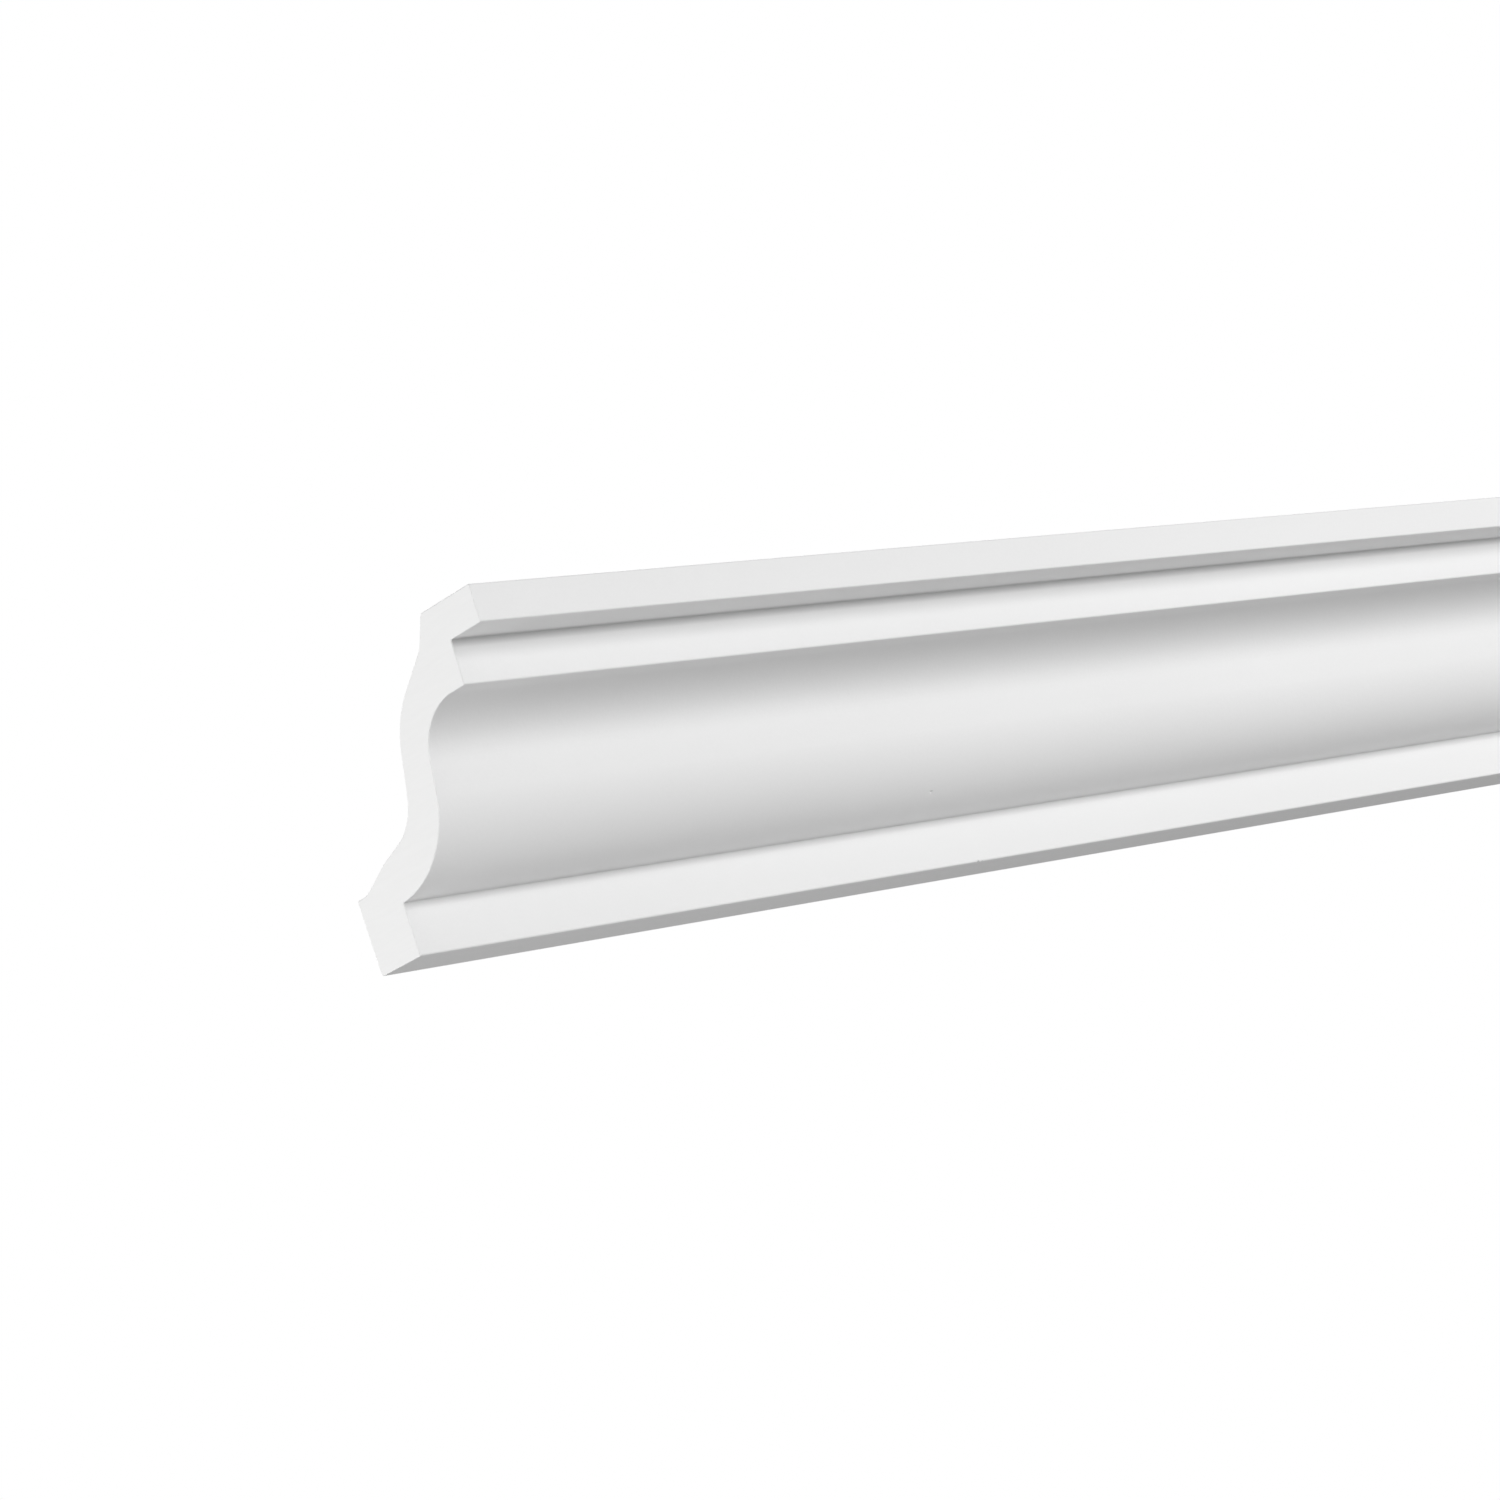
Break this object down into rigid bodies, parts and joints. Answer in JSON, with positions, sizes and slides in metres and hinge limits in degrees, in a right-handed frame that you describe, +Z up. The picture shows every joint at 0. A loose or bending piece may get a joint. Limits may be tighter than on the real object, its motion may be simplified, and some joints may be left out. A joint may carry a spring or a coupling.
{
  "type": "crown moulding length",
  "caption": "Straight length of crown moulding with cap, groove, band, hollow-and-belly curve and plain foot, relieved at the back and cut square at both ends.",
  "frame": {"origin": "centre of the flat that lies on the wall, halfway along the piece", "axes": "+X along the length, +Y into the wall, so the moulded front faces -Y, +Z up to the ceiling"},
  "size_m": [1, 0.096, 0.1],
  "materials": {
    "primed_foam": "matt white factory primer on cast hard foam"
  },
  "bodies": {
    "root": {"crown_moulding": "primed_foam"}
  },
  "joints": []
}
